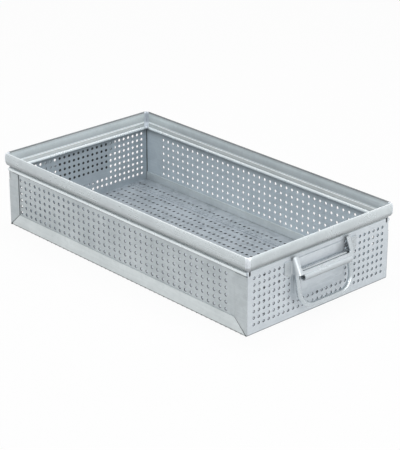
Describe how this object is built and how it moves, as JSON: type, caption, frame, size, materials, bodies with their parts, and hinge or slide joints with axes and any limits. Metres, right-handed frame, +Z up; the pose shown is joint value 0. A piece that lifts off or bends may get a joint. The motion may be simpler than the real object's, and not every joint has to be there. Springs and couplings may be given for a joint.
{
  "type": "perforated_metal_box",
  "caption": "Low rectangular perforated sheet metal box with a rolled rim and a hanging wire handle in a bracket on each end",
  "frame": {"origin": "bottom centre of the box, on the plane it stands on", "axes": "X runs along the long side, the end wall seen in the picture is at +X; Y runs across, the long wall seen in the picture is at -Y; Z is up"},
  "size_m": [0.4812, 0.2504, 0.1005],
  "materials": {
    "sheet": "zinc plated sheet, faintly mottled satin",
    "weld": "rough weld, zinc plated",
    "handle": "zinc plated formed sheet, bright satin",
    "wire": "zinc plated round wire, bright"
  },
  "bodies": {
    "box": {"floor_front": "sheet", "floor_back": "sheet", "base_strip_front": "sheet", "base_strip_back": "sheet", "floor_edge_front": "sheet", "floor_edge_back": "sheet", "long_wall_front": "sheet", "long_wall_back": "sheet", "end_wall_right": "sheet", "end_wall_left": "sheet", "corner_flange_front_right": "sheet", "corner_flange_back_left": "sheet", "corner_flange_back_right": "sheet", "corner_flange_front_left": "sheet", "rim_rail_right": "sheet", "rim_rail_left": "sheet", "rim_rail_back": "sheet", "rim_rail_front": "sheet", "rim_weld_front_right": "weld", "rim_weld_back_left": "weld", "rim_weld_back_right": "weld", "rim_weld_front_left": "weld", "handle_plate_right": "sheet", "handle_plate_left": "sheet", "handle_bracket_right": "handle", "handle_bracket_left": "handle"},
    "bail_right": {"handle_bail_right": "wire"},
    "bail_left": {"handle_bail_left": "wire"}
  },
  "joints": [
    {"name": "bail_right_swing", "type": "hinge", "parent": "box", "child": "bail_right", "pos_m": [0.2296, 0, 0.059], "axis": [0, -1, 0], "range_deg": [-10, 35]},
    {"name": "bail_left_swing", "type": "hinge", "parent": "box", "child": "bail_left", "pos_m": [-0.2296, 0, 0.059], "axis": [0, 1, 0], "range_deg": [-10, 35]}
  ]
}
